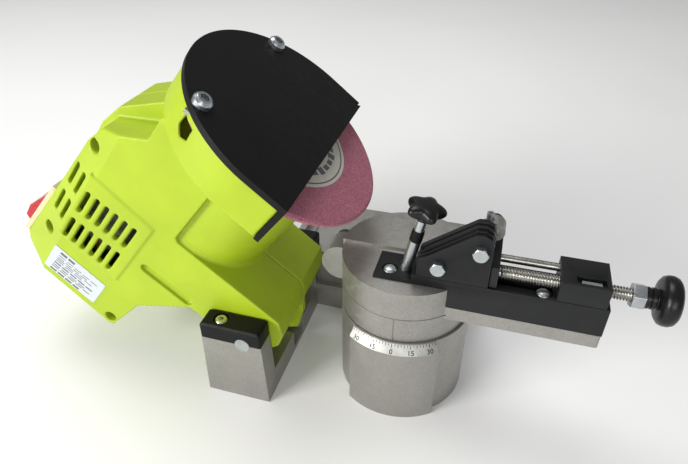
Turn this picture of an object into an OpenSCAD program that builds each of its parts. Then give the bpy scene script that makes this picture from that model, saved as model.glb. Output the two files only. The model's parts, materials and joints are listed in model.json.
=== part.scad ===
// Electric grinder that sharpens saw chains: a motor head with a guarded abrasive wheel,
// hinged in a cast yoke, swings down onto a chain held in the vise of a swivelling turntable.
// Millimetres. The origin is on the ground under the middle of the whole machine. +X runs from
// the yoke to the turntable, +Y away from the operator, +Z up. Inside place(), x and y are
// measured from the turntable's axis, and the yoke and head are symmetric about y = 0 there.

/* [Base casting] */
// Distance from the head's hinge axis to the turntable's axis
hinge_to_table = 71.4; // [70.4:0.2:72.4]
// Height of the head's hinge axis, where the posts meet their caps
hinge_h = 39.4; // [38.4:0.2:40.4]
// Width of a yoke post at its foot
post_w = 34.6; // [33.6:0.2:35.6]
// Thickness of a yoke post along the hinge
post_t = 11.5; // [10.5:0.1:11.5]
// Overall depth of the yoke
yoke_d = 91; // [91:0.5:94]
// Height of the plastic caps
cap_h = 9.2; // [8.6:0.2:10]
// Radius of the fixed pedestal under the turntable
pedestal_r = 32.8; // [32.6:0.1:32.9]
// Height of the fixed pedestal
pedestal_h = 50; // [49.6:0.1:50]
// Radius of the front sector that carries the angle scale
sector_r = 36.2; // [36:0.1:36.6]
// Height of the bench flange's top face
flange_z = 39.4; // [38.4:0.2:39.4]
// Rear edge of the bench flange
flange_back = 91; // [86:1:96]

/* [Turntable and vise] */
// Radius of the turntable
table_r = 32; // [31.6:0.1:32.3]
// Height of the turntable's front face
table_h = 79; // [78.8:0.1:79.4]
// Height of the vise rail's top face
rail_top = 84; // [83.8:0.1:84.2]
// Reach of the rail's right end from the turntable's axis
rail_end = 89; // [88.5:0.5:90]
// Travel of the chain stop along its screw
stop_travel = 12; // [8:1:12]

/* [Head] */
// Tilt of the wheel's axis in the raised position
rest_tilt = 50.8; // [50:0.2:51]
// Half the width of the motor housing between the posts
half_w = 33.5; // [33:0.1:33.5]
// Height of the wheel's axis over the hinge, in the head's own frame
wheel_u = 50.4; // [50.2:0.1:50.6]
// Height of the motor's axis over the hinge, in the head's own frame
motor_u = 88; // [87.5:0.1:88]
// Radius of the grinding wheel
wheel_r = 50; // [48:0.5:50]
// Thickness of the grinding wheel
wheel_t = 3.2; // [3:0.1:3.2]
// Radius of the wheel cover's round end
cover_r = 53.5; // [53.4:0.1:54]

/* [Hidden] */
$fn = 64;
eps = 0.01;
gap = 0.4;                       // clearance between bodies that move past each other
run = 0.05;                      // radial clearance of a running fit
green = [0.72, 0.83, 0.22];
cast = [0.68, 0.68, 0.67];
black = [0.09, 0.09, 0.09];
zinc = [0.75, 0.76, 0.78];
steel = [0.62, 0.63, 0.64];

table_x = 47.62;                 // turntable's axis, from the middle of the whole machine
table_y = -18.75;
yoke_x = -hinge_to_table - 6.3;  // middle of the posts
post_y = yoke_d / 2 - post_t;    // inner face of a post
pin_r = 4;
sleeve_r = 7;
beam_h = 14;
flange_t = 4;
slot_x = [-47, 7];                // bench slots: places along X, place along Y, half width, half run
slot_y = 60.5;
slot_r = 4.25;
slot_run = 2.75;
wall_y = 38;                     // front face of the wall under the flange
table_z0 = pedestal_h + 0.3;     // underside of the turntable
arm_z = 62;
rail_z = 69;
rail_y0 = -23;
rail_y1 = -4;
chain_y = -16.25;                // plane of the chain between the jaws
rail_step = 5.6;                 // left end of the rail's raised part
pedestal_dx = 0.6;               // pedestal's middle, beside the turntable's axis
sector_z = 45.2;                 // foot of the bevel that carries the scale
sector_top_r = 33.25;            // radius at the top of that bevel
sector_a = [-125.5, -51.5];      // ends of the front sector
pointer_a = -88.7;               // direction of the turntable's pointer line
jaw_gap = 1.5;
jaw_t = 6;
nut_y = chain_y + 7.15;
pawl_y = -6.4;
pawl_w = 7.4;
jaw_bolt_pos = [[17, 90.9], [34, 102.2]];
jaw_bolt_r = 2;
screw_z = 89;
rod_z = 91;
rod_y = -8.3;
block_w = 20;
carriage_x = 39.4;
carriage_w = 3.2;
block_x = carriage_x + carriage_w + stop_travel + 12.9;
stop_pivot = [38.1, 102.5];
eye_r = 4.6;
clamp_foot = [1.6, -14.2, 80.3];
clamp_tilt = 11.5;
collar_at = 17.2;                // clamp collar and clamp knob, along their stud
knob_at = 29;

cover_n0 = 86.9;                 // back of the wheel cover
cover_t = 3.1;
pan_n0 = 67.5;                   // back of the wheel guard
guard_r = 52.6;
guard_open_u = 33.6;             // open edge of the guard
cover_open_u = 31;               // open edge of the cover
lip_y = 49.6;                    // inner face of the cover's lips
wheel_n = 79.4;                  // back face of the wheel
flange_n = 73;                   // back of the inner flange
belt_n = 38;                     // middle plane of the belt
drive_r = 8;
driven_r = 20;
belt_w = 9;
belt_t = 2;
cover_screw_pos = [[82, 37.5], [82, -37.5]];     // height and depth of the cover's screws
boss_n = 83.2;                   // back of the bosses, just in front of the wheel
nut_n = 83.8;                    // back of the nuts in the bosses
housing_screw_pos = [[26, 111.5], [-42.5, 112], [-67.5, 58.5]];
housing_screw_y = half_w - 13;   // seat of their heads, from the seam
switch_n = [-62.6, -33];         // opening of the switch frame
switch_y = 19.6;
rocker_pivot = [-48, 119.8];
groove_n = -15;
groove_r = 2.75;
slot_count = 6;
slot_pitch = 5.35;

// ---------------------------------------------------------------- helpers

// Moves a piece from the turntable's axis to its place over the middle of the machine's footprint
module place() { translate([table_x, table_y, 0]) children(); }

module head_frame() {
    place() translate([-hinge_to_table, 0, hinge_h]) rotate([0, -rest_tilt, 0]) children();
}

module along_x(n, y, u) { translate([n, y, u]) rotate([0, 90, 0]) children(); }

module along_y(x, y, z) { translate([x, y, z]) rotate([-90, 0, 0]) children(); }

// A plate in the X-Z plane, from y0 to y1
module slab_y(points, y0, y1) {
    translate([0, y1, 0]) rotate([90, 0, 0]) linear_extrude(y1 - y0) polygon(points);
}

module block(x0, x1, y0, y1, z0, z1) {
    translate([x0, y0, z0]) cube([x1 - x0, y1 - y0, z1 - z0]);
}

// Socket head, round with a hexagon recess, looking along +Z
module socket_head(r, h, key) {
    difference() {
        union() {
            cylinder(r = r, h = h * 0.6);
            translate([0, 0, h * 0.6]) cylinder(r1 = r, r2 = r * 0.72, h = h * 0.4);
        }
        translate([0, 0, h * 0.4]) cylinder(r = key, h = h, $fn = 6);
    }
}

module hex_nut(across, h, bore) {
    difference() {
        cylinder(r = across / 2 / cos(30), h = h, $fn = 6);
        translate([0, 0, -1]) cylinder(r = bore, h = h + 2);
    }
}

// A shaft with closed thread ridges, which stand for the helix
module ridged_rod(r, len, pitch) {
    turns = floor(len / pitch);
    rotate_extrude() polygon(concat(
        [[0, 0], [r - 0.35, 0]],
        [for (i = [0 : turns - 1]) for (k = [0, 1]) [k == 0 ? r - 0.35 : r, (i + 0.25 + k / 2) * pitch]],
        [[r - 0.35, len], [0, len]]));
}

// ---------------------------------------------------------------- base

module post(side) {
    w = post_w;
    y0 = side > 0 ? post_y : -yoke_d / 2;
    slab_y([[yoke_x - w / 2, 0], [yoke_x + w / 2, 0], [yoke_x + w / 2 - 1.2, hinge_h],
            [yoke_x - w / 2 + 1.4, hinge_h]], y0, y0 + post_t);
}

// Sector of a cylinder or cone between two angles
module sector(r0, r1, z0, z1, ends) {
    intersection() {
        translate([0, 0, z0]) cylinder(r1 = r0, r2 = r1, h = z1 - z0);
        translate([0, 0, z0]) linear_extrude(z1 - z0) polygon([[0, 0],
            for (i = [0 : 4]) let (a = ends[0] + (ends[1] - ends[0]) * i / 4) 60 * [cos(a), sin(a)]]);
    }
}

module base_casting() {
    x0 = yoke_x - post_w / 2;
    x1 = yoke_x + post_w / 2;
    color(cast) place() difference() {
        union() {
            post(-1);
            post(1);
            block(x0, x1, -post_y - eps, post_y + eps, 0, beam_h);
            block(x0, x0 + 9, -8, 8, 0, beam_h + 5);
            // wall and foot strip that tie the yoke to the pedestal
            block(x1 - 4, -20, post_y, yoke_d / 2, 0, 17);
            block(x1 - 4, -20, wall_y, yoke_d / 2, 0, flange_z - flange_t + eps);
            // bench flange with two stiffening ribs
            translate([0, 0, flange_z - flange_t]) linear_extrude(flange_t) polygon([
                [x1 - 19, wall_y], [x1 - 19, flange_back - 6], [x1 - 13, flange_back],
                [22, flange_back], [28, flange_back - 6], [28, 18], [-20, 18], [-20, wall_y]]);
            for (x = [-62, 10]) block(x, x + 4, yoke_d / 2 - 2, flange_back - 12, 26, flange_z - 1);
            // pedestal, with the thicker front sector that carries the scale
            translate([pedestal_dx, 0, 0]) cylinder(r = pedestal_r, h = pedestal_h);
            sector(sector_r, sector_r, 0, sector_z, sector_a);
            sector(sector_r, sector_top_r, sector_z - eps, pedestal_h, sector_a);
        }
        // hollow pedestal, open below, with the pivot bore through its roof
        translate([0, 0, -1]) cylinder(r = 29.5, h = 43);
        translate([0, 0, 30]) cylinder(r = 5 + run, h = 30);
        // seat of the hinge pin, shared with the caps
        along_y(-hinge_to_table, -yoke_d, hinge_h) cylinder(r = pin_r, h = 2 * yoke_d);
        // trough in the beam for the head's stop flap
        block(x0 + 9, x1 + 1, -7, 7, 3, beam_h + 10);
        along_x(x0 - 1, 0, 11.7) cylinder(r = 2.5 + run, h = 12);
        // hollow underside of the beam, on both sides of the trough
        for (s = [-1, 1]) block(x0 + 4, x1 - 4, s > 0 ? 10 : -post_y + 1, s > 0 ? post_y - 1 : -10, -1, 10);
        // screw holes under the caps
        for (s = [-1, 1]) cap_screw_place(s) translate([0, 0, -25]) cylinder(r = 1.9, h = 40);
        // bench slots
        for (x = slot_x) translate([x, slot_y, flange_z - 10]) {
            for (dx = [-slot_run, slot_run]) translate([dx, 0, 0]) cylinder(r = slot_r, h = 20);
            block(-slot_run, slot_run, -slot_r, slot_r, 0, 20);
        }
    }
}

// Middle of a cap screw, at the height of the hinge
module cap_screw_place(side) { translate([yoke_x - 6.8, side * (yoke_d / 2 - 5.8), hinge_h]) children(); }

module yoke_cap(side) {
    yc = side * (yoke_d / 2 - post_t / 2 + 0.1);
    w = post_w - 2.4;
    color(black) place() difference() {
        hull() for (dx = [-1, 1], dy = [-1, 1]) {
            translate([yoke_x + dx * (w / 2 - 1), yc + dy * (post_t / 2 - 0.8), hinge_h + 0.02])
                cylinder(r = 1, h = cap_h - 1.2, $fn = 32);
            translate([yoke_x + dx * (w / 2 - 2), yc + dy * (post_t / 2 - 1.8), hinge_h + 0.5])
                cylinder(r = 1, h = cap_h - 0.5, $fn = 32);
        }
        along_y(-hinge_to_table, -yoke_d, hinge_h) cylinder(r = pin_r + 0.02, h = 2 * yoke_d);
        cap_screw_place(side) translate([0, 0, -10]) cylinder(r = 1.95, h = 40);
        cap_screw_place(side) translate([0, 0, cap_h - 2.6]) cylinder(r = 3.9, h = 10);
    }
}

module yoke_cap_front() { yoke_cap(-1); }

module yoke_cap_rear() { yoke_cap(1); }

module cap_screws() {
    color([0.80, 0.78, 0.52]) place() for (s = [-1, 1])
        cap_screw_place(s) translate([0, 0, cap_h - 2.55]) {
            socket_head(3.5, 2.6, 1.5);
            translate([0, 0, -22]) cylinder(r = 1.9, h = 22 + eps);
        }
}

module hinge_pin() {
    color(zinc) place() along_y(-hinge_to_table, -yoke_d / 2 - 0.6, hinge_h)
        cylinder(r = pin_r, h = yoke_d + 1.2);
}

// Bevelled strip of the protractor scale, bedded on the sector's bevel
module angle_scale() {
    color([0.86, 0.86, 0.84]) place() difference() {
        sector(sector_r + 0.4, sector_top_r + 0.4, sector_z + 0.1, pedestal_h - 0.1,
            sector_a + [0.8, -0.8]);
        translate([0, 0, sector_z]) cylinder(r1 = sector_r, r2 = sector_top_r, h = pedestal_h - sector_z);
        translate([0, 0, sector_z - 1]) cylinder(r = table_r, h = 12);
    }
}

module depth_stop_screw() {
    color(zinc) place() along_x(yoke_x - post_w / 2 - 9, 0, 11.7) difference() {
        union() { ridged_rod(2.5, 29, 0.8); cylinder(r = 2.45, h = 29); }
        translate([0, 0, -eps]) cylinder(r = 1.4, h = 2, $fn = 6);
    }
}

module depth_stop_nut() {
    color(zinc) place() along_x(yoke_x - post_w / 2 - 4.1, 0, 11.7) hex_nut(8, 4, 2.5 + run);
}

// ---------------------------------------------------------------- turntable

module turntable() {
    color(cast) place() difference() {
        union() {
            translate([0, 0, table_z0]) cylinder(r = table_r, h = table_h - table_z0);
            // rear half stands one step higher than the front half
            intersection() {
                translate([0, 0, table_h - 6]) cylinder(r = table_r + 0.8, h = 7.5);
                block(-40, 40, 0, 40, 60, 90);
            }
            along_y(-34.5, 0, 64.5) cylinder(r = 10, h = 14);
            // arm under the rail
            block(0, rail_end - 1.5, rail_y0, rail_y1, arm_z, rail_z);
            block(rail_end - 3, rail_end, rail_y0 + 1.5, rail_y1 - 1.5, arm_z, rail_z);
            translate([rail_end - 1.5, rail_y0 + 1.5, arm_z]) cylinder(r = 1.5, h = rail_z - arm_z);
            translate([rail_end - 1.5, rail_y1 - 1.5, arm_z]) cylinder(r = 1.5, h = rail_z - arm_z);
        }
        // hollow underside around the pivot boss
        difference() {
            translate([0, 0, table_z0 - 1]) cylinder(r = 27, h = 10);
            translate([0, 0, table_z0 - 2]) cylinder(r = 11, h = 14);
        }
        translate([0, 0, table_z0 - 1]) cylinder(r = 5, h = rail_z - table_z0 + 1.02);
        // seat of the vise rail
        block(-12.2, rail_end + 5, rail_y0, rail_y1 + 0.1, rail_z, 95);
        // pointer line and casting step of the skirt
        rotate([0, 0, pointer_a]) block(table_r - 0.5, table_r + 1, -0.35, 0.35, table_z0 - 1, 64);
        rotate_extrude() translate([table_r - 0.3, 63.7]) square([1, 0.5]);
        // holes for the rail screws
        translate([-5.4, chain_y, arm_z + 1]) cylinder(r = 2.1, h = 20);
        translate([62.4, rail_y0 + 4.2, arm_z + 1]) cylinder(r = 2.1, h = 20);
    }
}

module pivot_bolt() {
    color(zinc) place() translate([0, 0, 19]) cylinder(r = 4.95, h = rail_z - 19 - 0.1);
}

module pivot_washer() {
    color(zinc) place() difference() {
        translate([0, 0, 39.4]) cylinder(r = 11, h = 2.1);
        translate([0, 0, 39]) cylinder(r = 5.3, h = 4);
    }
}

// Star nut under the pedestal's roof that clamps the turntable
module table_lock_knob() {
    color(black) place() difference() {
        union() {
            translate([0, 0, 17]) cylinder(r = 12, h = 22);
            for (a = [0 : 72 : 359]) rotate([0, 0, a]) translate([14, 0, 17]) cylinder(r = 6.5, h = 13);
        }
        translate([0, 0, 18.5]) cylinder(r = 4.95 + run, h = 30);
    }
}

// ---------------------------------------------------------------- vise

module vise_rail() {
    color(black) place() difference() {
        union() {
            block(-12, rail_end, rail_y0 + 0.05, rail_y1, rail_z + 0.05, 80.3);
            block(rail_step, rail_end, rail_y0 + 0.05, rail_y1, rail_z + 0.05, rail_top);
        }
        // groove under the chain
        block(rail_step + 4, block_x - 1.5, chain_y - 2, chain_y + 2, rail_top - 3, rail_top + 1);
        translate([-5.4, chain_y, 60]) cylinder(r = 2.1, h = 30);
        translate([-5.4, chain_y, 78.6]) cylinder(r = 3.7, h = 5);
        translate([62.4, rail_y0 + 4.2, 60]) cylinder(r = 2.1, h = 30);
        translate([62.4, rail_y0 + 4.2, rail_top - 1.4]) cylinder(r = 3.7, h = 5);
        translate(clamp_foot) rotate([0, clamp_tilt, 0]) translate([0, 0, -5.6]) cylinder(r = 2.5, h = 20);
    }
}

module rail_screws() {
    color(zinc) place() {
        translate([-5.4, chain_y, 78.65]) rotate_extrude() polygon([[0, -12], [2.05, -12], [2.05, 0],
            [3.5, 0], [3.2, 1.3], [2.3, 2.2], [0, 2.7]]);
        translate([62.4, rail_y0 + 4.2, rail_top - 1.35]) rotate_extrude() polygon([[0, -14], [2.05, -14],
            [2.05, 0], [3.4, 0], [3.1, 1.2], [2.1, 2.0], [0, 2.5]]);
    }
}

// Outline of a jaw plate; grow lifts its sloping edge for the stepped layers
function jaw_outline(lift0, grow) = [[7.6, rail_top + lift0], [39, rail_top + lift0], [39, 106 + grow],
    [37.8, 109 + grow], [35, 110.6 + grow], [31, 110.4 + grow], [7.6, 92.7 + grow]];

module jaw(y0, y1, lift0, outer_low) {
    steps = 3;
    t = (y1 - y0) / steps;
    difference() {
        for (i = [0 : steps - 1]) {
            lift = outer_low ? i : steps - 1 - i;
            slab_y(jaw_outline(lift0, lift * 0.9), y0 + i * t - (i > 0 ? eps : 0), y0 + (i + 1) * t);
        }
        for (p = jaw_bolt_pos) along_y(p[0], y0 - 5, p[1]) cylinder(r = jaw_bolt_r + run, h = 20);
    }
}

module jaw_front() {
    color(black) place() jaw(rail_y0 + 0.1, chain_y - jaw_gap / 2, 0.05, true);
}

module jaw_rear() {
    color(black) place() jaw(chain_y + jaw_gap / 2, chain_y + jaw_gap / 2 + jaw_t, 0.35, false);
}

module jaw_bolts() {
    color(zinc) place() for (p = jaw_bolt_pos) {
        along_y(p[0], rail_y0 - 2.7, p[1]) intersection() {
            cylinder(r = 3.6, h = 2.8, $fn = 6);
            translate([0, 0, -0.7]) cylinder(r1 = 2.3, r2 = 5.8, h = 3.5);
        }
        along_y(p[0], rail_y0 + 0.05, p[1]) cylinder(r = jaw_bolt_r, h = nut_y + 2.1 - rail_y0);
    }
}

module jaw_nuts() {
    color(zinc) place() for (p = jaw_bolt_pos) along_y(p[0], nut_y, p[1]) hex_nut(7, 2.1, jaw_bolt_r);
}

module clamp_frame() { place() translate(clamp_foot) rotate([0, clamp_tilt, 0]) children(); }

module clamp_stud() {
    color(zinc) clamp_frame() {
        translate([0, 0, -5.5]) cylinder(r = 2.5, h = 12);
        translate([0, 0, 6.4]) cylinder(r = 2.7, h = collar_at - 6.5);
        translate([0, 0, collar_at - 0.2]) cylinder(r = 2.3, h = knob_at - collar_at + 5);
    }
}

module clamp_collar() {
    color(black) clamp_frame() translate([0, 0, collar_at]) difference() {
        union() {
            cylinder(r = 2.9, h = 4.6);
            translate([0, 0, 4.6 - eps]) cylinder(r = 2.7, h = 1.2);
        }
        translate([0, 0, -1]) cylinder(r = 2.3, h = 10);
    }
}

// Lobed hand knob: a waisted hub with five rounded lobes
module clamp_knob() {
    color(black) clamp_frame() translate([0, 0, knob_at]) difference() {
        union() {
            cylinder(r1 = 3.6, r2 = 5.8, h = 2.6);
            translate([0, 0, 2.5]) cylinder(r = 7, h = 4.4);
            translate([0, 0, 6.8]) cylinder(r1 = 7, r2 = 4.6, h = 1.9);
            for (a = [0 : 72 : 359]) rotate([0, 0, a + 10]) translate([6.3, 0, 1.8]) {
                cylinder(r = 3.2, h = 4.4);
                translate([0, 0, 4.3]) cylinder(r1 = 3.2, r2 = 2, h = 1.3);
            }
        }
        translate([0, 0, -1]) cylinder(r = 2.3 + run, h = 6.2);
    }
}

module screw_block() {
    color(black) place() difference() {
        block(block_x, block_x + block_w, rail_y0 + 0.1, rail_y1 + 0.5, rail_top + 0.05, 94);
        block(block_x + 6.5, block_x + 18, -20.6, -16.2, 92.2, 96);
        along_x(block_x - 1, chain_y, screw_z) cylinder(r = 3 + run, h = block_w + 2);
        along_x(block_x - 1, rod_y, rod_z) cylinder(r = 1.8, h = block_w - 4);
    }
}

module block_insert() {
    color(zinc) place() block(block_x + 8.5, block_x + 16.5, -19.6, -17.4, 92.22, 93);
}

module guide_rod() {
    color(steel) place() along_x(carriage_x - 0.1, rod_y, rod_z)
        cylinder(r = 1.8, h = block_x - carriage_x + 14);
}

// Slider that carries the chain stop: the adjuster screw moves it along the guide rod
module stop_carriage() {
    back = pawl_y + pawl_w + gap;
    color(black) place() difference() {
        union() {
            block(carriage_x, carriage_x + carriage_w, rail_y0 + 1, back + 2.4, rail_top + gap, 95);
            slab_y([[33.4, 88], [carriage_x + carriage_w, 88], [carriage_x + carriage_w, 95],
                [38.8, 95], stop_pivot + [2, 0], stop_pivot + [-3, 1]], back, back + 2.4);
            along_y(stop_pivot[0], back, stop_pivot[1]) cylinder(r = 3.4, h = 2.4);
        }
        along_x(carriage_x - 10, rod_y, rod_z) cylinder(r = 1.8 + run, h = 30);
        along_x(carriage_x - 0.1, chain_y, screw_z) cylinder(r = 2.2 + run, h = 20);
        along_y(stop_pivot[0], back - 5, stop_pivot[1]) cylinder(r = 2, h = 20);
    }
}

module adjuster_screw() {
    len = 98 - carriage_x - carriage_w;
    color(steel) place() {
        along_x(carriage_x + carriage_w + 0.3, chain_y, screw_z) {
            ridged_rod(3, len, 1.2);
            cylinder(r = 2.3, h = len + 7);
        }
        along_x(carriage_x + 1, chain_y, screw_z) cylinder(r = 2.2, h = 6);
    }
}

module adjuster_nut() {
    color(zinc) place() along_x(96, chain_y, screw_z) hex_nut(9.5, 5, 3);
}

// Round hand knob with a grooved neck
module adjuster_knob() {
    color(black) place() along_x(101.1, chain_y, screw_z) difference() {
        rotate_extrude() polygon([[0, 0], [4.6, 0], [4.6, 1.4], [4, 1.7], [4, 2.1], [4.6, 2.4], [4.6, 3.8],
            [4, 4.1], [4.4, 4.6], [8.6, 5.2], [10, 6.2], [10.6, 7.8], [10.6, 9.6], [10, 11.2], [8.8, 12.2],
            [7, 12.6], [5, 11.6], [2.4, 12.2], [0, 12.4]]);
        translate([0, 0, -1]) cylinder(r = 2.3, h = 5.5);
    }
}

module set_screw_place() {
    translate([stop_pivot[0] - 2.8, pawl_y + pawl_w / 2, stop_pivot[1] + 2.4]) children();
}

// Cast pawl: a flat lever with a round eye, lying along the sloping edge of the jaws
module chain_stop() {
    along = [cos(211), sin(211)];
    up = [-along[1], along[0]] * -1;
    tip = stop_pivot + 27 * along;
    color(cast) place() difference() {
        union() {
            along_y(stop_pivot[0], pawl_y, stop_pivot[1]) cylinder(r = eye_r, h = pawl_w);
            slab_y([stop_pivot - 4 * up, tip - 2.8 * up, tip + 0.6 * up, stop_pivot + 14 * along + 3 * up,
                stop_pivot + 4.2 * up], pawl_y, pawl_y + pawl_w);
        }
        along_y(stop_pivot[0], pawl_y - 5, stop_pivot[1]) cylinder(r = 2 + run, h = 30);
        set_screw_place() cylinder(r = 1.6, h = 9);
    }
}

// Small set screw on top of the pawl's eye
module stop_set_screw() {
    color(zinc) place() set_screw_place() difference() {
        cylinder(r = 1.6, h = 5);
        translate([0, 0, 4]) cylinder(r = 0.8, h = 2, $fn = 6);
    }
}

module stop_pin() {
    color(zinc) place() {
        along_y(stop_pivot[0], pawl_y, stop_pivot[1]) cylinder(r = 2, h = pawl_w + gap + 2.5);
        along_y(stop_pivot[0], pawl_y + pawl_w + gap + 2.42, stop_pivot[1]) cylinder(r = 2.8, h = 1.4);
    }
}

// ---------------------------------------------------------------- head

// Height of the housing's sloping roof beside its raised middle
function roof_u(n) = 122.6 - 0.0727 * (n + 64);

// Side outline of the housing in the head's own frame: along the wheel's axis, and height
function housing_outline() = [[-66.8, 119.4], [-64, 122.6], [24, roof_u(24)], [37.5, 112.5], [54, 92.5],
    [pan_n0 + 1, 92.5], [pan_n0 + 1, 58], [17, 58], [15, 56], [15, -7], [9.5, -13.4], [2, -16],
    [-9, -13], [-14.5, -6], [-16, 2], [-18, 30.5], [-44, 51], [-71.5, 54.6], [-73, 57]];

// D-shaped prism of the guard, round end up, open end at the height open_u
module guard_prism(n0, n1, r, open_u) {
    along_x(n0, 0, wheel_u) cylinder(r = r, h = n1 - n0, $fn = 96);
    block(n0, n1, -r, r, open_u, wheel_u);
}

module guard_form(n0, n1, r, open_u) {
    intersection() {
        guard_prism(n0, n1, r, open_u);
        block(n0 - 1, n1 + 1, -80, 80, open_u, 200);
    }
}

module long_hole(n0, n1, u, r, y0, y1) {
    block(n0 + r, n1 - r, y0, y1, u - r, u + r);
    for (n = [n0 + r, n1 - r]) along_y(n, y0, u) cylinder(r = r, h = y1 - y0);
}

// Bevel that cuts the box edges between the side faces and the top
module top_bevel(s) {
    translate([-90, s * half_w, 103]) rotate([s * 28, 0, 0])
        block(0, 200, s > 0 ? 0 : -30, s > 0 ? 30 : 0, -5, 60);
}

module housing_solid() {
    difference() {
        union() {
            slab_y(housing_outline(), -half_w, half_w);
            // raised middle of the roof, which runs from the motor box onto the guard
            slab_y([[0, 117.5], [28, 118.2], [42, 114.8], [pan_n0 + 1, 93.3], [pan_n0 + 1, 88], [40, 88],
                [0, 112]], -15.5, 15.5);
        }
        for (s = [-1, 1]) top_bevel(s);
    }
    // raised ventilation panel on each side
    for (s = [-1, 1]) slab_y([[-37, 68], [12.2, 68], [15.5, 106], [-33.5, 106]],
        s > 0 ? half_w - 1 : -half_w - 1, s > 0 ? half_w + 1 : -half_w + 1);
    // spindle collar
    along_x(12, 0, wheel_u) cylinder(r1 = 32.6, r2 = 31, h = 6);
    along_x(17.9, 0, wheel_u) cylinder(r = 31, h = pan_n0 - 17.8);
    guard_form(pan_n0, cover_n0, guard_r, guard_open_u);
    // stop flap under the hinge
    slab_y([[12, -5], [9.6, -11.6], [1, -19.4], [-12, -25], [-17, -22], [-12, -10]], -2.4, 2.4);
}

module housing_hollow() {
    // wheel chamber
    difference() {
        guard_form(pan_n0 + 2.4, cover_n0 + 1, guard_r - 1.6, guard_open_u - 2);
        for (p = cover_screw_pos) along_x(boss_n, p[1], p[0]) cylinder(r = 5, h = 30);
    }
    // motor room
    block(-62.5, 27, -half_w + 2.8, half_w - 2.8, 63, 104);
    block(-62.5, 27, -half_w + 4.2, half_w - 4.2, 58, 63.1);
    block(-60.5, 23, -22, 22, 100, 115);
    // belt room and spindle room
    slab_y([[24, 61], [pan_n0 - 3, 61], [pan_n0 - 3, 89.5], [52.5, 89.5], [44.5, 100], [24, 100]],
        -half_w + 3, half_w - 3);
    along_x(20, 0, wheel_u) cylinder(r = 28, h = pan_n0 - 23);
    // hollow of the lower arm over the hinge
    block(-13, 12, -half_w + 4.2, half_w - 4.2, 12, 60);
    block(-40, 12, -half_w + 4.2, half_w - 4.2, 55, 60);
}

module housing_cuts() {
    along_y(0, -60, 0) cylinder(r = sleeve_r, h = 120);
    // spindle and its bearing seats
    along_x(10, 0, wheel_u) cylinder(r = 8, h = 60);
    along_x(pan_n0 - 4, 0, wheel_u) cylinder(r = 11, h = 5);
    along_x(14.5, 0, wheel_u) cylinder(r = 11, h = 6);
    // switch opening, cable gland bore
    block(switch_n[0] - 0.9, switch_n[1] + 1, -switch_y - 0.9, switch_y + 0.9, 112, 130);
    along_x(-80, 18, 70) cylinder(r = 4, h = 20);
    // ventilation slots, two rows in the side panels and one pair in the bevels
    for (s = [-1, 1], i = [0 : slot_count - 1]) {
        u = 75.2 + i * slot_pitch;
        y0 = s > 0 ? half_w - 6 : -half_w - 4;
        long_hole(-11.5, 5, u, 1.25, y0, y0 + 10);
        long_hole(-33.5, -17, u, 1.25, y0, y0 + 10);
    }
    for (s = [-1, 1], u = [109, 114.5]) {
        y0 = s > 0 ? 22 : -34;
        long_hole(-7, 9, u, 1.1, y0, y0 + 12);
        long_hole(-29, -13, u, 1.1, y0, y0 + 12);
    }
    // screw recesses and screw holes across the seam
    for (p = housing_screw_pos) {
        along_y(p[0], -40, p[1]) cylinder(r = 1.7, h = 62);
        along_y(p[0], -half_w - 3, p[1]) cylinder(r = 3.3, h = half_w + 3 - housing_screw_y + 0.2);
    }
    // long decorative grooves on the sides
    for (s = [-1, 1]) {
        y0 = s > 0 ? half_w - 2.4 : -half_w - 1;
        block(groove_n - groove_r, groove_n + groove_r, y0, y0 + 3.4, 33.1, 59.7);
        for (u = [33.1, 59.7]) along_y(groove_n, y0, u) cylinder(r = groove_r, h = 3.4);
    }
    // five-sided windows in the guard's rim, over the nuts of the cover
    for (s = [-1, 1]) translate([79, 0, wheel_u]) rotate([s * 54, 0, 0]) translate([0, 0, guard_r - 3])
        linear_extrude(8) polygon([[-4.6, 0], [-2, -4.4], [4.2, -3.9], [4.2, 3.9], [-2, 4.4]]);
    for (p = cover_screw_pos) {
        along_x(nut_n - 0.5, p[1], p[0]) cylinder(r = 2.1, h = 20);
        block(nut_n - 0.1, nut_n + 2.1, p[1] - 3.5, p[1] + 3.5, p[0] - 3.5, p[0] + 3.5);
    }
    // open end of the guard
    block(pan_n0 + 2.4, cover_n0 + 1, -guard_r + 1.6, guard_r - 1.6, 0, wheel_u);
}

module housing_bosses() {
    // bearing walls, screw bosses and hinge tube inside the shells
    difference() {
        union() {
            block(14, 17, -half_w + 1, half_w - 1, 60, 104);
            block(-58, -54, -half_w + 1, half_w - 1, 60, 106);
            for (p = housing_screw_pos) along_y(p[0], -31, p[1]) cylinder(r = 4, h = 62);
        }
        along_x(-70, 0, motor_u) cylinder(r = 8, h = 100);
        along_x(-60, 0, motor_u) cylinder(r = 6, h = 100);
    }
}

module housing_half(s) {
    color(green) head_frame() difference() {
        union() {
            difference() {
                housing_solid();
                housing_hollow();
            }
            intersection() {
                housing_bosses();
                housing_solid();
            }
        }
        housing_cuts();
        block(-120, 120, s > 0 ? -80 : -0.02, s > 0 ? 0.02 : 80, -60, 200);
    }
}

module housing_front() { housing_half(-1); }

module housing_rear() { housing_half(1); }

module housing_screws() {
    color(zinc) head_frame() for (p = housing_screw_pos) {
        along_y(p[0], -housing_screw_y, p[1]) rotate([180, 0, 0]) socket_head(3, 2, 1.3);
        along_y(p[0], -housing_screw_y - eps, p[1]) cylinder(r = 1.65, h = 36);
    }
}

module hinge_sleeve() {
    color(steel) head_frame() along_y(0, -post_y + 0.35, 0) difference() {
        cylinder(r = sleeve_r - 0.02, h = 2 * post_y - 0.7);
        translate([0, 0, -1]) cylinder(r = pin_r + run, h = 2 * post_y + 2);
    }
}

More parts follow.
